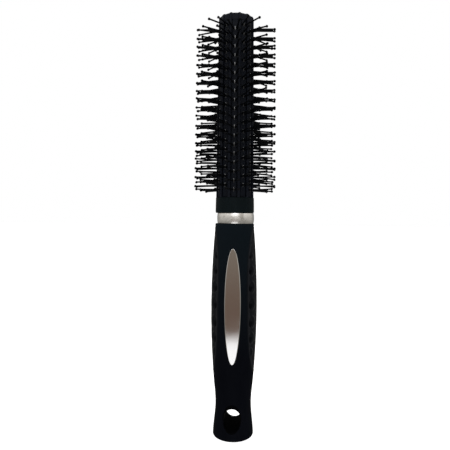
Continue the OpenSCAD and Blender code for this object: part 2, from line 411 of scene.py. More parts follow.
# Painted shade: a near-black, dull copy of the rubber for the deep lower tips of the dimples
PAD_DEEP_SHADE = pad_rubber(
    "grip_deep_painted_shade", (0.0005, 0.0007, 0.0013), (0.0011, 0.0014, 0.0022), 0.5, 0.03)
COLLAR_BLACK = moulded_nylon(
    "collar_black", (0.0012, 0.0032, 0.0040), (0.0020, 0.0048, 0.0058), 0.5, 0.06)
BARREL_BLACK = moulded_nylon(
    "barrel_black", (0.0030, 0.0040, 0.0074), (0.0042, 0.0055, 0.0096), 0.5, 0.08)
STRIP_BLACK = moulded_nylon(
    "strip_black", (0.0024, 0.0033, 0.0060), (0.0035, 0.0047, 0.0078), 0.5, 0.065)
BEAD_BLACK = moulded_nylon(
    "bead_black", (0.0018, 0.0024, 0.0034), (0.0032, 0.0040, 0.0050), 0.12, 1.0)
PIN_BLACK = moulded_nylon(
    "pin_black", (0.0010, 0.0012, 0.0018), (0.0022, 0.0025, 0.0032), 0.45, 0.06)
# Painted shade for the walls of the hanging hole: a darker, duller copy of the black
HOLE_SHADE_BLACK = moulded_nylon(
    "hole_painted_shade", (0.0004, 0.0005, 0.0007), (0.0009, 0.0010, 0.0013), 0.6, 0.01)
SATIN_SILVER = satin_silver()
RING_SILVER = polished_ring()


# ---- handle skin ----

COLUMNS = 180
COLUMN = 2 * math.pi / COLUMNS
ROW_H = 1 * MM
# Shares of the way from a window's edge to its opening at which the skin has rings
APRON = [0, 0.3, 0.55, 0.75, 0.9, 1]


def grid_z(k):
    """Height of grid line k: whole steps, but for the last one just under the top edge."""
    return min(k * ROW_H, handle_top - TOP_ROUND)


def square_to_disc(u, v):
    """A point of the square from -1 to 1 carried into the unit disc."""
    return u * math.sqrt(1 - v * v / 2), v * math.sqrt(1 - u * u / 2)


def square_edge(across, along):
    """Points round the edge of the square from -1 to 1, in order."""
    low = [(-1 + 2 * i / across, -1) for i in range(across)]
    right = [(1, -1 + 2 * i / along) for i in range(along)]
    high = [(1 - 2 * i / across, 1) for i in range(across)]
    left = [(-1, 1 - 2 * i / along) for i in range(along)]
    return low + right + high + left


class Window:
    """A rectangle of the skin's grid that holds an oval opening, facing the way of its middle."""

    def __init__(self, middle, half_columns, low, high, half_a, half_b, centre_z, power=1.0):
        self.middle = middle
        self.half = half_columns
        self.low, self.high = low, high
        self.a, self.b, self.z, self.power = half_a, half_b, centre_z, power
        self.square = square_edge(2 * half_columns, high - low)
        self.disc = [square_to_disc(u, v) for u, v in self.square]

    def holds(self, column, row):
        """Whether the grid's cell lies in the rectangle."""
        offset = (column - self.middle + COLUMNS // 2) % COLUMNS - COLUMNS // 2
        return -self.half <= offset < self.half and self.low <= row < self.high

    def edge(self):
        """The rectangle's own edge, as (angle from its middle, height)."""
        middle, reach = (self.low + self.high) / 2, (self.high - self.low) / 2
        lines = [(self.half * u, middle + reach * v) for u, v in self.square]
        return [(COLUMN * column, grid_z(round(row))) for column, row in lines]

    def oval(self, grow=0.0):
        """The opening's outline as (across, height), moved out by grow."""
        points = []
        for c, s in self.disc:
            across = math.copysign(abs(c) ** self.power, c)
            along = math.copysign(abs(s) ** self.power, s)
            nx, nz = across / self.a, along / self.b
            size = math.hypot(nx, nz)
            points.append((self.a * across + grow * nx / size,
                           self.z + (self.b * along + grow * nz / size)))
        return points

    def place(self, across, out, z):
        """A point across the window's middle plane and out along its facing direction."""
        turn = self.middle * COLUMN
        return (out * math.sin(turn) + across * math.cos(turn),
                -out * math.cos(turn) + across * math.sin(turn), z)

    def on_skin(self, across, z, sink=0.0, under=0.0):
        """A point of the handle's surface, sunk along the facing direction or radially under it."""
        r = handle_r(z) - under
        return self.place(across, math.sqrt(max(r * r - across * across, 0)) - sink, z)

    def apron(self, grow, shares):
        """Rings of the surface between the rectangle's edge and the opening's outline."""
        rim = []
        for across, z in self.oval(grow):
            rim.append((math.asin(min(across / handle_r(z), 1)), z))
        rings = []
        for t in shares:
            ring = []
            for (a0, z0), (a1, z1) in zip(self.edge(), rim):
                angle, z = a0 + (a1 - a0) * t, z0 + (z1 - z0) * t
                ring.append(on_axis(self.middle * COLUMN + angle, handle_r(z), z))
            rings.append(ring)
        return rings

    def lip(self, radius, steps, grow=0.0):
        """Rings that round the edge of the opening, from the surface down into it."""
        rings = []
        for k in range(1, steps + 1):
            turn = math.pi / 2 * k / steps
            out = self.oval(grow + radius * (1 - math.sin(turn)))
            rings.append([self.on_skin(x, z, radius * (1 - math.cos(turn))) for x, z in out])
        return rings


front_hole = Window(0, 23, 2, 24, *HOLE_RIM)
back_hole = Window(COLUMNS // 2, 23, 2, 24, *HOLE_RIM)
plate_seat = Window(0, 15, 40, 111, PLATE_A, PLATE_B, PLATE_Z)
right_pad = Window(COLUMNS // 4, 30, 31, 121, PAD_A, PAD_B, PAD_Z, PAD_POWER)
left_pad = Window(-COLUMNS // 4, 30, 31, 121, PAD_A, PAD_B, PAD_Z, PAD_POWER)


def throat_rings(window):
    """Rings that round the hole's lip from its rim into the throat, widest at the top."""
    half_a, half_b, middle = THROAT
    rim = window.oval()
    throat = [(half_a * c, middle + half_b * s) for c, s in window.disc]
    rings = []
    steps = 6
    for k in range(1, steps + 1):
        turn = math.pi / 2 * k / steps
        ring = []
        for (x0, z0), (x1, z1) in zip(throat, rim):
            reach, share = math.hypot(x1 - x0, z1 - z0), 1 - math.sin(turn)
            ring.append(window.on_skin(x0 + (x1 - x0) * share, z0 + (z1 - z0) * share,
                                       LIP_DEPTH * reach * (1 - math.cos(turn))))
        rings.append(ring)
    return rings


def hole_walls():
    """The hanging hole: two rounded lips and the straight tunnel between them."""
    front, back = (w.apron(0, APRON) + throat_rings(w) for w in (front_hole, back_hole))

    def key(point):
        return round(point[0] / MM, 3), round(point[2] / MM, 3)

    far = {key(p): p for p in back[-1]}
    pairs = [(p, far[key(p)]) for p in front[-1]]
    steps = 8
    tunnel = []
    for k in range(steps + 1):
        t = k / steps
        tunnel.append([tuple(a + (b - a) * t for a, b in zip(p, q)) for p, q in pairs])
    return [loft(front), loft(back), loft(tunnel)]


def seat_walls():
    """The plate's seat: a fine lip, a straight wall and a flat floor."""
    seat = plate_seat
    rings = seat.apron(SEAT_GAP + SEAT_LIP, APRON) + seat.lip(SEAT_LIP, 3, SEAT_GAP)
    for scale in (1, 0.75, 0.4):
        rings.append([seat.place(x * scale, SEAT_FLOOR, seat.z + (z - seat.z) * scale)
                      for x, z in seat.oval(SEAT_GAP)])
    return [loft(rings, end=seat.place(0, SEAT_FLOOR, seat.z))]


PAD_LIP = 0.1 * MM


def pad_walls(pad):
    """A pad's recess: a fine lip, a wall and a floor that follows the handle."""
    rings = pad.apron(PAD_SEAM + PAD_LIP, APRON) + pad.lip(PAD_LIP, 2, PAD_SEAM)
    for scale in FLOOR_SHARES:
        rings.append([pad.on_skin(y * scale, pad.z + (z - pad.z) * scale, under=PAD_T + PAD_SEAM)
                      for y, z in pad.oval(PAD_SEAM)])
    return [loft(rings, end=pad.on_skin(0, pad.z, under=PAD_T + PAD_SEAM))]


# Painted shade in the hanging hole: the darker black reaches to this share of the hole's rim,
# between these heights
HOLE_SHADE_SHARE = 0.97
HOLE_SHADE_LOW = 2 * MM
HOLE_SHADE_HIGH = 20 * MM


def make_handle():
    """The handle in one skin, with its openings, its seat and recesses and the bore for the core."""
    windows = [front_hole, back_hole, plate_seat, right_pad, left_pad]
    top_line = round((handle_top - TOP_ROUND) / ROW_H)
    parts = []
    skin_verts, skin_faces, index = [], [], {}

    def vertex(column, row):
        key = (column % COLUMNS, row)
        if key not in index:
            index[key] = len(skin_verts)
            z = grid_z(row)
            skin_verts.append(on_axis(COLUMN * key[0], handle_r(z), z))
        return index[key]

    for row in range(1, top_line):
        for column in range(COLUMNS):
            if not any(w.holds(column, row) for w in windows):
                skin_faces.append((vertex(column, row), vertex(column + 1, row),
                                   vertex(column + 1, row + 1), vertex(column, row + 1)))
    parts.append((skin_verts, skin_faces))

    low = [(0, 0), (BUTT_R * 0.5, 0), (BUTT_R * 0.8, 0)]
    low += arc(handle_r(BUTT_ROUND) - BUTT_ROUND, BUTT_ROUND, BUTT_ROUND, -90, -10, 5)
    low += [(handle_r(grid_z(1)), grid_z(1))]
    parts.append(lathe(low, COLUMNS))

    edge_z = grid_z(top_line)
    edge_r = handle_r(edge_z)
    high = [(edge_r, edge_z)] + arc(edge_r - TOP_ROUND, edge_z, TOP_ROUND, 20, 90, 4)
    high += [(SPIGOT_BORE, handle_top), (SPIGOT_BORE, SPIGOT_BORE_LOW)]
    high += [(STEM_BORE, SPIGOT_BORE_LOW), (STEM_BORE, STEM_BORE_LOW), (0, STEM_BORE_LOW)]
    parts.append(lathe(high, COLUMNS))

    parts += hole_walls() + seat_walls() + pad_walls(right_pad) + pad_walls(left_pad)
    verts, faces = merge(parts)
    piece = add_piece("handle_skin", verts, faces, SOFT_TOUCH, ["handle_body"],
                      weld=True)
    # Faces inside the hanging hole get the darker black: painted shade
    piece.data.materials.append(HOLE_SHADE_BLACK)
    half_a, half_b, middle = HOLE_RIM
    for face in piece.data.polygons:
        x, y, z = face.center
        inside = math.hypot(x / half_a, (z - middle) / half_b) < HOLE_SHADE_SHARE
        if inside and HOLE_SHADE_LOW < z < HOLE_SHADE_HIGH:
            face.material_index = 1


# ---- grip pads ----

# The outer dimples from the top down, in millimetres: heights, lengths and widths
DIMPLE_Z = [110.3, 103.2, 95.2, 85.9, 76.4, 66.4, 57.4, 49.1, 41.6]
DIMPLE_LEN = [3.6, 5.1, 6.6, 7.4, 7.8, 7.8, 7.2, 5.8, 3.6]
DIMPLE_W = [2.4, 4.2, 5.5, 6.4, 6.8, 6.8, 6.2, 4.6, 2.6]
DIMPLE_DEEP = 0.62 * MM
DIMPLE_RIDGE = 0.07 * MM
# Angles of the two columns of dimples from the pad's middle, on both sides of it
OUTER_COLUMN = math.radians(37.5)
INNER_COLUMN = math.radians(12)
# The inner column's dimples as shares of the outer ones' mean width, length and depth
INNER_WIDTH = 0.84
INNER_LENGTH = 1.1
INNER_DEPTH = 0.22


def dimple_list():
    """Every almond dimple: angle from the pad's middle, height, half width, half length, depth."""
    outer = [(z * MM, w / 2 * MM, n / 2 * MM) for z, w, n in zip(DIMPLE_Z, DIMPLE_W, DIMPLE_LEN)]
    found = []
    for z, w, n in outer:
        found += [(side * OUTER_COLUMN, z, w, n, DIMPLE_DEEP) for side in (-1, 1)]
    for (z0, w0, n0), (z1, w1, n1) in zip(outer, outer[1:]):
        z, w, n = (z0 + z1) / 2, (w0 + w1) / 2 * INNER_WIDTH, (n0 + n1) / 2 * INNER_LENGTH
        found += [(side * INNER_COLUMN, z, w, n, DIMPLE_DEEP * INNER_DEPTH) for side in (-1, 1)]
    return found


def pad_relief(angle, z, r):
    """How far the pad's surface stands in or out at an angle from its middle and a height."""
    ridge_at, ridge_width = -0.12, 0.13
    sink, ridge = np.zeros_like(angle), np.zeros_like(angle)
    for a0, z0, half_w, half_n, deep in dimple_list():
        up = (z - z0) / half_n
        along = np.clip(1 - up ** 2, -1, 1)
        across = np.abs(angle - a0) * r / half_w
        inside = along - across
        fall = 0.5 + 0.5 * smooth_step(0.75, -0.55, up)
        sink = np.maximum(sink, deep * fall * smooth_step(-0.03, 0.6, inside))
        near = np.exp(-((inside - ridge_at) / ridge_width) ** 2) * (np.abs(up) < 1)
        if abs(a0) > INNER_COLUMN:
            ridge = np.maximum(ridge, DIMPLE_RIDGE * near * (np.abs(angle) < abs(a0)))
    return np.where(sink > 0, np.minimum(ridge, 0), ridge) - sink


def pad_edge(y, z):
    """Distance in from the pad's outline, at points of its face."""
    power = 2 / PAD_POWER
    u, v = np.abs(y) / PAD_A, np.abs(z - PAD_Z) / PAD_B
    rho = np.maximum((u ** power + v ** power) ** (1 / power), 1e-6)
    slope_y = (u / rho) ** (power - 1) / PAD_A
    slope_z = (v / rho) ** (power - 1) / PAD_B
    return (1 - rho) / np.maximum(np.hypot(slope_y, slope_z), 1e-6)


# A pad's face swells a little inside its outline and drops at the outline itself
SWELL_H = 0.11 * MM
SWELL_AT = 0.75 * MM
SWELL_WIDTH = 0.42 * MM
DROP_H = 0.2 * MM
DROP_WIDTH = 0.35 * MM
# Distances in from the outline between which the dimples' relief begins
RELIEF_FROM = 0.5 * MM
RELIEF_FULL = 1.1 * MM


def pad_painted_tone(height, edge):
    """Which lit or shaded copy of the pad's rubber a face has, by its relief and its distance from
    the outline.
    """
    # Painted highlight on the ridges and the edge band, painted shade in the dimples and darkest in
    # their deep tips
    if height > DIMPLE_RIDGE * 0.4:
        return PAD_RIDGE_HIGHLIGHT
    if height < -DIMPLE_DEEP * 0.75:
        return PAD_DEEP_SHADE
    if height < -DIMPLE_DEEP * 0.12:
        return PAD_DIMPLE_SHADE
    if 0.3 * MM < edge < 1.0 * MM:
        return PAD_EDGE_HIGHLIGHT
    return PAD_RUBBER


def make_pad(name, window, node):
    """A grip pad: a dimpled face, a side wall and a back that follows the handle."""
    across, along = 92, 264
    grid = []
    for j in range(along + 1):
        for i in range(across + 1):
            c, s = square_to_disc(-1 + 2 * i / across, -1 + 2 * j / along)
            grid.append((PAD_A * math.copysign(abs(c) ** PAD_POWER, c),
                         PAD_Z + PAD_B * math.copysign(abs(s) ** PAD_POWER, s)))
    grid = np.array(grid)
    y, z = grid[:, 0], grid[:, 1]
    r = np.array([handle_r(v) for v in z])
    angle = np.arcsin(np.clip(y / r, -1, 1))
    edge = pad_edge(y, z)
    rim = SWELL_H * np.exp(-((edge - SWELL_AT) / SWELL_WIDTH) ** 2)
    rim -= DROP_H * np.clip(1 - edge / DROP_WIDTH, 0, 1) ** 2
    relief = pad_relief(angle, z, r) * smooth_step(RELIEF_FROM, RELIEF_FULL, edge)
    verts = [window.on_skin(p, q, under=-h) for p, q, h in zip(y, z, relief + rim)]
    width = across + 1
    faces = [(j * width + i, j * width + i + 1, (j + 1) * width + i + 1, (j + 1) * width + i)
             for j in range(along) for i in range(across)]
    ring = list(range(across))
    ring += [j * width + across for j in range(along)]
    ring += [along * width + across - i for i in range(across)]
    ring += [(along - j) * width for j in range(along)]
    count = len(ring)
    previous = ring
    for scale in FLOOR_SHARES:
        start = len(verts)
        verts += [window.on_skin(y[k] * scale, PAD_Z + (z[k] - PAD_Z) * scale, under=PAD_T)
                  for k in ring]
        now = list(range(start, len(verts)))
        faces += [(previous[i], previous[(i + 1) % count], now[(i + 1) % count], now[i])
                  for i in range(count)]
        previous = now
    verts.append(window.on_skin(0, PAD_Z, under=PAD_T))
    tip = len(verts) - 1
    faces += [(previous[i], previous[(i + 1) % count], tip) for i in range(count)]
    piece = add_piece(name, verts, faces, PAD_RUBBER, [node], sharp=50)
    # Lit and shaded copies of the rubber, picked face by face: painted highlight and painted shade
    lit_and_shaded_tones = [PAD_RUBBER, PAD_RIDGE_HIGHLIGHT, PAD_DIMPLE_SHADE, PAD_DEEP_SHADE, PAD_EDGE_HIGHLIGHT]
    for tone in lit_and_shaded_tones[1:]:
        piece.data.materials.append(tone)
    for face in piece.data.polygons[:across * along]:
        corners = list(face.vertices)
        face.material_index = lit_and_shaded_tones.index(pad_painted_tone(np.mean(relief[corners]), np.mean(edge[corners])))


# ---- plate, ring and collar ----

# The bevel's share of its full size at the plate's two pointed ends
TIP_SHARE = 0.15
# The ends' insets as a share of the sides'
END_INSET = 0.6


def make_plate():
    """A thin almond-shaped plate with a rounded bevel all round."""
    count = 240
    turn = [2 * math.pi * i / count for i in range(count)]

    def inset_point(t, inset, out):
        return ((PLATE_A - inset) * math.cos(t), -out,
                PLATE_Z + (PLATE_B - inset * END_INSET) * math.sin(t))

    def ring(inset, out):
        return [inset_point(t, inset, out) for t in turn]

    def edge_step(inset, drop):
        """A step of the bevelled edge, which is slim at the two pointed ends."""
        points = []
        for t in turn:
            share = TIP_SHARE + (1 - TIP_SHARE) * min(1, 1.6 * abs(math.cos(t)))
            points.append(inset_point(t, inset * share, PLATE_FACE - drop * share))
        return points

    def scaled(share, out):
        return [(PLATE_A * share * math.cos(t), -out, PLATE_Z + PLATE_B * share * math.sin(t))
                for t in turn]

    back = [scaled(0.5, PLATE_BACK), ring(0.1 * MM, PLATE_BACK)]
    side = [ring(0, PLATE_BACK + 0.08 * MM)]
    bevel = [edge_step(inset * MM, drop * MM) for inset, drop in PLATE_BEVEL]
    face = [ring(0.6 * MM, PLATE_FACE), scaled(0.7, PLATE_FACE), scaled(0.3, PLATE_FACE)]
    verts, faces = loft(back + side + bevel + face,
                        (0, -PLATE_BACK, PLATE_Z), (0, -PLATE_FACE, PLATE_Z))
    add_piece("inlay_plate_face", verts, faces, SATIN_SILVER, ["inlay_plate"],
              sharp=50)


RING_OFFSET = 0.5 * MM
RING_R = ring_r + 0.12 * MM
RING_BULGE = 0.26 * MM
RING_END_R = RING_R - 0.6 * MM


def make_ring():
    """The bright ring: gently bulged, with turned-in edges, and set a little to one side."""
    bore = SPIGOT_BORE + RING_OFFSET
    half = (ring_high - ring_low) / 2
    middle = (ring_high + ring_low) / 2
    bulge = []
    for k in range(25):
        t = -1 + k / 12
        bulge.append((RING_R - RING_BULGE * abs(t) ** 2.4, middle + (half - 0.06 * MM) * t))
    low = [(bore, ring_low), (RING_END_R, ring_low)]
    high = [(RING_END_R, ring_high), (bore, ring_high)]
    profile = low + bulge + high
    verts, faces = lathe(profile + [profile[0]])
    verts = [(x + RING_OFFSET, y, z) for x, y, z in verts]
    add_piece("bright_ring", verts, faces, RING_SILVER, ["ferrule_ring"],
              sharp=40, weld=True)


def make_collar():
    """The smooth collar, rounded under and drawn in slightly towards the barrel."""
    corner = 0.75 * MM
    top_corner = 0.3 * MM
    top_r = collar_r - 0.12 * MM
    step = stub_low - 0.05 * MM
    profile = [(SPIGOT_BORE, collar_low)]
    profile += arc(collar_r - corner, collar_low + corner, corner, -90, 0, 8)
    profile += [(collar_r - 0.02 * MM, collar_low + 4 * MM), (top_r, collar_high - top_corner)]
    profile += arc(top_r - top_corner, collar_high - top_corner, top_corner, 15, 90, 4)
    profile += [(STUB_SEAT_R, collar_high), (STUB_SEAT_R, step), (SPIGOT_BORE, step)]
    verts, faces = lathe(profile + [profile[0]])
    add_piece("collar", verts, faces, COLLAR_BLACK, ["barrel_collar"],
              sharp=40, weld=True)


# ---- barrel ----

def sector_half(radius, floor, lip):
    """Half a row's cross-section as [out, across], from the slot's middle to the rib's middle."""
    wall, round_r = MOUTH_HALF, 0.32 * MM
    points = [(floor, 0), (floor, SLOT_HALF * 0.5), (floor, SLOT_HALF * 0.9)]
    points += [(floor, SLOT_HALF), (lip, SLOT_HALF), (lip + 0.03 * MM, wall)]
    top = math.sqrt(radius * radius - (wall + round_r) ** 2)
    for k in range(5):
        a = math.pi / 2 * k / 4
        points.append((top - round_r * (1 - math.sin(a)), wall + round_r * (1 - math.cos(a))))
    start = math.atan2(wall + round_r, top)
    for k in range(1, 5):
        a = start + (ROW_STEP / 2 - start) * k / 4
        points.append((radius * math.cos(a), radius * math.sin(a)))
    return points


def whole_ring(half):
    """A whole ring from half a row's points, each (turn from the row's middle, radius, height)."""
    ring = []
    for row in range(ROWS):
        side = [(-a, r, z) for a, r, z in reversed(half[1:-1])] + half
        ring += [on_axis(row * ROW_STEP + a, r, z) for a, r, z in side]
    return ring


LEAST_TURN = math.radians(0.1)


def climbing(points):
    """The points' turns, kept climbing where the slot's undercut would fold them back."""
    turns = [math.atan2(y, x) for x, y in points]
    for k in range(len(turns) - 2, 0, -1):
        turns[k] = min(turns[k], turns[k + 1] - LEAST_TURN)
    return turns


def closed_section(radius, rise):
    """Half a row's (turn, radius) above the slots, where the ribs stand proud by rise."""
    section = sector_half(radius, SLOT_FLOOR, SLOT_LIP)
    points = []
    for turn, (_, across) in zip(climbing(section), section):
        inside = smooth_step(MOUTH_HALF - RIB_FLANK, MOUTH_HALF + RIB_FLANK, across)
        points.append((turn, radius - rise + rise * float(inside)))
    return points


# How proud the ribs are right above the slots; they ease to RIB_H at the shoulder
RIB_START_H = 0.53 * MM
# Radii of the flat top's rings, as shares of which the first is the shoulder's inner edge
TOP_RINGS = (0.94, 0.88, 0.8, 0.74, 0.7, 0.66, 0.5, 0.25)


def make_barrel():
    """The ribbed tube: slots for the strips, ribs that run over its shoulder, and its bore."""
    roof_low = barrel_high - ROOF_T
    straight = barrel_high - SHOULDER
    directions = climbing(sector_half(BASE_R, SLOT_FLOOR, SLOT_LIP))

    def round_ring(radius, z):
        return whole_ring([(turn, radius, z) for turn in directions])

    def outer_r(z):
        return BASE_R + (TIP_R - BASE_R) * (z - barrel_low) / barrel_len

    rings = [round_ring(BORE_R * 0.5, roof_low), round_ring(BORE_R, roof_low)]
    rings += [round_ring(BORE_R, stub_low), round_ring(STUB_R, stub_low)]
    rings += [round_ring(STUB_R, barrel_low)]

    steps = 50
    for k in range(steps + 1):
        z = barrel_low + (SLOT_TOP - barrel_low) * k / steps
        sink = (z - barrel_low) * math.tan(DRAFT)
        section = sector_half(outer_r(z), SLOT_FLOOR - sink, SLOT_LIP - sink)
        rings.append(whole_ring([(math.atan2(y, x), math.hypot(x, y), z) for x, y in section]))

    closed_low = SLOT_TOP + 0.05 * MM
    steps = 6
    for k in range(steps + 1):
        z = closed_low + (straight - closed_low) * k / steps
        rise = RIB_H + (RIB_START_H - RIB_H) * (1 - k / steps) ** 2
        rings.append(whole_ring([(turn, r, z) for turn, r in closed_section(outer_r(z), rise)]))

    edge_r = outer_r(straight)
    corner_r = edge_r - SHOULDER
    crest = [(turn, edge_r - r) for turn, r in closed_section(edge_r, RIB_H)]
    for k in range(1, steps + 1):
        bend = math.pi / 2 * k / steps
        ring = []
        for turn, low in crest:
            reach = SHOULDER - low
            ring.append((turn, corner_r + reach * math.cos(bend), straight + reach * math.sin(bend)))
        rings.append(whole_ring(ring))
    for share in TOP_RINGS:
        r = corner_r * share / TOP_RINGS[0]
        fade = float(smooth_step(RIB_IN - 0.5 * MM, RIB_IN + 0.5 * MM, r))
        rings.append(whole_ring([(turn, r, barrel_high - RIB_H + (RIB_H - low) * fade)
                                 for turn, low in crest]))
    verts, faces = loft(rings, (0, 0, roof_low), (0, 0, barrel_high - RIB_H))
    add_piece("ribbed_barrel", verts, faces, BARREL_BLACK, ["barrel"], weld=True)


# ---- rows of pins ----

def in_row(points, row):
    """Points (out, across, up) of a row's own frame, which leans in with the barrel."""
    x, y, z = np.asarray(points, float).T
    lean_x = SLOT_FLOOR + (x - SLOT_FLOOR) * math.cos(DRAFT) - z * math.sin(DRAFT)
    lean_z = barrel_low + (x - SLOT_FLOOR) * math.sin(DRAFT) + z * math.cos(DRAFT)
    turn = row * ROW_STEP
    side_x = lean_x * math.sin(turn) + y * math.cos(turn)
    side_y = -lean_x * math.cos(turn) + y * math.sin(turn)
    return np.stack([side_x, side_y, lean_z], 1)


def pair_heights(row):
    """Heights of a row's pairs of pins up its strip; every other row is set half a step up."""
    return [FIRST_PAIR + (row % 2) * PITCH / 2 + i * PITCH for i in range(PAIRS)]


# The bead between the pins of a pair: half length, half width and height
BEAD_HALF = 1.3 * MM
BEAD_R = 0.4 * MM
BEAD_H = 0.26 * MM
# Distances from a bead's middle at which a strip has rings, as shares of the half length
BEAD_SHARES = (1.12, 1.0, 0.94, 0.82, 0.6, 0.3, 0)
# Distances of the crown's points from its middle, in millimetres
CROWN_POINTS = [0, 0.12, 0.22, 0.3, 0.35, 0.38, 0.41, 0.6, 0.9, 1.2, 1.4, 1.5]
# The crown drops beside this share of its half width, and ends this far above the strip's foot
CROWN_EDGE = 0.75
CROWN_DROP = 0.16 * MM
CROWN_LIFT = 0.2 * MM


def make_strip(row):
    """A strip: a flat foot in the slot, a rounded crown, and a bead between the pins of a pair."""
    length = SLOT_TOP - barrel_low - STRIP_GAP
    pairs = pair_heights(row)
    heights = {0.0, 0.25 * MM, length - 0.25 * MM, length}
    for middle in pairs:
        for share in BEAD_SHARES:
            heights |= {middle - share * BEAD_HALF, middle + share * BEAD_HALF}
    heights = sorted(h for h in heights if 0 <= h <= length)
    crown = [-w * MM for w in reversed(CROWN_POINTS[1:])] + [w * MM for w in CROWN_POINTS]
    foot_low, foot_high = SLOT_FLOOR + STRIP_GAP, SLOT_LIP - STRIP_GAP
    foot = SLOT_HALF - STRIP_GAP

    def crown_height(y, h):
        edge = max(abs(y) / CROWN_HALF - CROWN_EDGE, 0) / (1 - CROWN_EDGE)
        x = math.sqrt(CROWN_R ** 2 - y * y) - CROWN_DROP * edge ** 2
        near = min(abs(h - m) for m in pairs) / BEAD_HALF
        if near < 1:
            rise = BEAD_R * math.sqrt(1 - near ** 3)
            if abs(y) < rise:
                height = BEAD_H * rise / BEAD_R * math.sqrt(1 - (abs(y) / rise) ** 3)
                x = max(x, CROWN_R - 0.02 * MM + height)
        return x

    rings = []
    for h in heights:
        end = 0.15 * MM if h in (0.0, length) else 0
        ring = [(crown_height(y, h) - end, y * (1 - end / CROWN_HALF), h) for y in crown]
        ring += [(foot_high + CROWN_LIFT, CROWN_HALF, h), (foot_high, CROWN_HALF, h)]
        ring += [(foot_high, foot, h), (foot_low, foot, h), (foot_low, -foot, h)]
        ring += [(foot_high, -foot, h), (foot_high, -CROWN_HALF, h)]
        ring += [(foot_high + CROWN_LIFT, -CROWN_HALF, h)]
        rings.append(ring)
    centre = (foot_low + foot_high) / 2
    verts, faces = loft(rings, (centre, 0, heights[0]), (centre, 0, heights[-1]))
    local = np.array(verts)
    verts = in_row(local + np.array([0, 0, STRIP_GAP]), row)
    number = "%02d" % (row + 1)
    piece = add_piece("strip_" + number, verts, faces, STRIP_BLACK,
                      ["pin_strip_" + number], sharp=38)
    piece.data.materials.append(BEAD_BLACK)
    for face in piece.data.polygons:
        middle = local[list(face.vertices)].mean(0)
        if middle[0] > CROWN_R + 0.04 * MM and abs(middle[1]) < BEAD_R:
            face.material_index = 1


# The flared foot of a pin in millimetres: distance from its root, radius
PIN_FOOT = [(0, 0.48), (1.2, 0.52), (1.5, 0.5), (1.9, 0.49)]
PIN_R = 0.49 * MM
PIN_TAPER = 0.07 * MM
# How far pin ends are bent: the spread sideways and up in millimetres, the most, and a droop
BEND_SPREAD = (0.38, 0.42)
BEND_LIMIT = 0.9 * MM
PIN_DROOP = 0.5 * MM


def pin_profile():
    """A pin's outline as (distance from its root, radius): flared foot, slim shaft, ball end."""
    ball = PIN_LEN - BALL_R
    profile = [(along * MM, r * MM) for along, r in PIN_FOOT]
    for share in (0.22, 0.36, 0.5, 0.64, 0.78, 0.88):
        profile.append((PIN_LEN * share, PIN_R - PIN_TAPER * share))
    for degrees in (-56, -40, -18, 0, 20, 40, 60, 78):
        a = math.radians(degrees)
        profile.append((ball + BALL_R * math.sin(a), BALL_R * math.cos(a)))
    return profile


def make_pins(row, random):
    """All the pins of a row: pairs that lean apart, each pin with its own small bend."""
    sides = 12
    profile = pin_profile()
    turn = [2 * math.pi * k / sides for k in range(sides)]
    parts = []
    for height in pair_heights(row):
        for side in (-1, 1):
            ahead = np.array([math.cos(PIN_SPLAY), side * math.sin(PIN_SPLAY), 0])
            across = np.array([-side * math.sin(PIN_SPLAY), math.cos(PIN_SPLAY), 0])
            up = np.array([0, 0, 1.0])
            bend = random.normal(0, 1, 2) * np.array(BEND_SPREAD) * MM
            bend = np.clip(bend, -BEND_LIMIT, BEND_LIMIT) - np.array([0, PIN_DROOP])
            root = np.array([PIN_ROOT_X, side * PIN_ROOT_Y, height])

            def point(s):
                t = s / PIN_LEN
                return root + ahead * s + (across * bend[0] + up * bend[1]) * t * t

            rings = []
            for s, r in profile:
                centre = point(s)
                rings.append([tuple(centre + across * r * math.cos(a) + up * r * math.sin(a))
                              for a in turn])
            parts.append(loft(rings, tuple(point(0)), tuple(point(PIN_LEN))))
    verts, faces = merge(parts)
    number = "%02d" % (row + 1)
    add_piece("pin_row_" + number, in_row(verts, row), faces, PIN_BLACK,
              ["pins_" + number], sharp=60)


# ---- stage, light and camera ----

FLOOR_GAP = 0.2 * MM


def make_stage():
    """A plain pale floor just under the butt, lit so evenly that it runs into the background."""
    half = 4.0
    floor = bpy.data.meshes.new("floor")
    floor.from_pydata([(-half, -half, 0), (half, -half, 0), (half, half, 0), (-half, half, 0)],
                      [], [(0, 1, 2, 3)])
    piece = bpy.data.objects.new("floor", floor)
    piece.location.z = -FLOOR_GAP
    bpy.context.scene.collection.objects.link(piece)
    material, tree, shader = new_material("pale_floor", Specular_IOR_Level=0.0, Roughness=0.9)
    cloud = add_noise(tree, 0.5, 2)
    tree.links.new(add_tint(tree, cloud, (0.80, 0.80, 0.80), (0.82, 0.82, 0.82)),
                   shader.inputs["Base Color"])
    shader.inputs["Emission Color"].default_value = (1, 1, 1, 1)
    shader.inputs["Emission Strength"].default_value = 0.80
    floor.materials.append(material)
    piece.visible_glossy = False


# What the brush mirrors: a warm grey room and its cards
WHITE = (1.0, 1.0, 1.0)
ROOM_LOW = (0.20, 0.192, 0.176)
ROOM_HIGH = (0.62, 0.60, 0.56)
ROOM_BEHIND = (0.21, 0.205, 0.195)
DARK_CARD_HIGH = (0.185, 0.155, 0.128)
DARK_CARD_LOW = (0.128, 0.088, 0.068)
LOW_CARD = (1.06, 1.06, 1.07)
TOP_CARD = (1.15, 1.15, 1.15)
WING_CARD = (3.4, 3.6, 3.8)


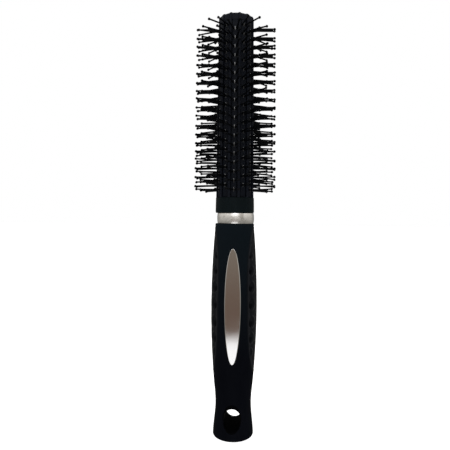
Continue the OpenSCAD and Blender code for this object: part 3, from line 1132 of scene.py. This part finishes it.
def make_world():
    """Studio surroundings: white to the camera, and a warm grey room with cards in reflections.

    A card is a patch of directions, bounded by ramps along x, y and z: dark, low and top in front
    (-Y), and a bright wing high up on either side.
    """
    world = bpy.data.worlds.new("studio")
    bpy.context.scene.world = world
    world.use_nodes = True
    tree = world.node_tree
    tree.nodes.clear()
    output = tree.nodes.new("ShaderNodeOutputWorld")
    background = tree.nodes.new("ShaderNodeBackground")
    tree.links.new(background.outputs[0], output.inputs["Surface"])
    coord = tree.nodes.new("ShaderNodeTexCoord")
    split = tree.nodes.new("ShaderNodeSeparateXYZ")
    tree.links.new(coord.outputs["Generated"], split.inputs[0])

    def ramp(value, start, stop):
        node = tree.nodes.new("ShaderNodeMapRange")
        node.interpolation_type = "SMOOTHSTEP"
        node.inputs["From Min"].default_value = start
        node.inputs["From Max"].default_value = stop
        tree.links.new(value, node.inputs["Value"])
        return node.outputs["Result"]

    def product(*values):
        total = values[0]
        for value in values[1:]:
            node = tree.nodes.new("ShaderNodeMath")
            node.operation = "MULTIPLY"
            tree.links.new(total, node.inputs[0])
            tree.links.new(value, node.inputs[1])
            total = node.outputs[0]
        return total

    def blend(value, base, over):
        node = tree.nodes.new("ShaderNodeMix")
        node.data_type = "RGBA"
        tree.links.new(value, node.inputs[0])
        for socket, colour in ((node.inputs[6], base), (node.inputs[7], over)):
            if isinstance(colour, tuple):
                socket.default_value = (*colour, 1)
            else:
                tree.links.new(colour, socket)
        return node.outputs[2]

    x, y, z = split.outputs["X"], split.outputs["Y"], split.outputs["Z"]
    ahead = ramp(y, -0.3, -0.6)
    narrow = product(ahead, ramp(x, -0.42, -0.3), ramp(x, 0.3, 0.18))
    dark = product(narrow, ramp(z, -0.004, -0.044))
    low = product(narrow, ramp(z, -0.252, -0.277))
    top = product(ahead, ramp(x, -0.5, -0.3), ramp(x, 0.45, 0.25), ramp(z, 0.12, 0.22))
    room = blend(ramp(z, -0.3, 0.3), ROOM_LOW, ROOM_HIGH)
    room = blend(ramp(y, 0.3, 0.95), room, ROOM_BEHIND)
    room = blend(dark, room, blend(ramp(z, -0.054, -0.2265), DARK_CARD_HIGH, DARK_CARD_LOW))
    room = blend(low, room, LOW_CARD)
    room = blend(top, room, TOP_CARD)
    for side in (-1, 1):
        wing = product(ramp(y, -0.05, -0.2), ramp(x, side * 0.5, side * 0.6), ramp(z, 0.44, 0.52))
        room = blend(wing, room, WING_CARD)
    path = tree.nodes.new("ShaderNodeLightPath")
    seen = blend(path.outputs["Is Camera Ray"], room, WHITE)
    tree.links.new(seen, background.inputs["Color"])


KEY_PLACE = (0.0, -0.79, 0.57)
KEY_AIM = (0, 0, 0.2)
KEY_SIZE = (0.13, 0.36)
KEY_WATTS = 0.75


def make_key():
    """A softbox high in front that adds highlights only."""
    light = bpy.data.lights.new("key", "AREA")
    light.shape = "RECTANGLE"
    light.size, light.size_y = KEY_SIZE
    light.energy = KEY_WATTS
    lamp = bpy.data.objects.new("key", light)
    lamp.location = KEY_PLACE
    facing = Vector(KEY_AIM) - Vector(KEY_PLACE)
    lamp.rotation_euler = facing.to_track_quat("-Z", "Y").to_euler()
    lamp.visible_diffuse = False
    bpy.context.scene.collection.objects.link(lamp)


# The photo's viewpoint: a level camera close to the brush, its frame moved by shift
CAMERA_DISTANCE = 0.268
CAMERA_HEIGHT = 0.128
CAMERA_TURN = math.radians(4.0)
CAMERA_ROLL = math.radians(0.50)
LENS = 37.0
SENSOR = 36
SHIFT_X = -0.0218
SHIFT_Y = -0.0288


def make_camera():
    """The camera at the photo's viewing angle, as the scene's own camera."""
    data = bpy.data.cameras.new("camera")
    data.lens = LENS
    data.sensor_width = SENSOR
    data.shift_x = SHIFT_X
    data.shift_y = SHIFT_Y
    data.clip_start = 0.01
    camera = bpy.data.objects.new("camera", data)
    camera.location = (CAMERA_DISTANCE * math.sin(CAMERA_TURN),
                       -CAMERA_DISTANCE * math.cos(CAMERA_TURN), CAMERA_HEIGHT)
    aim = Euler((math.pi / 2, 0, CAMERA_TURN)).to_matrix()
    roll = Euler((0, 0, CAMERA_ROLL)).to_matrix()
    camera.rotation_euler = (aim @ roll).to_euler()
    bpy.context.scene.collection.objects.link(camera)
    bpy.context.scene.camera = camera


make_camera()
make_world()
make_stage()
make_key()

for node, material in (("handle_core", raw_core()), ("inlay_tape", tape_film())):
    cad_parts[node].data.materials.clear()
    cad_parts[node].data.materials.append(material)

make_handle()
make_pad("pad_left", left_pad, "grip_pad_left")
make_pad("pad_right", right_pad, "grip_pad_right")
make_plate()
make_ring()
make_collar()
make_barrel()
bends = np.random.default_rng(11)
for row in range(ROWS):
    make_strip(row)
    make_pins(row, bends)

bpy.context.scene.view_settings.view_transform = "Standard"
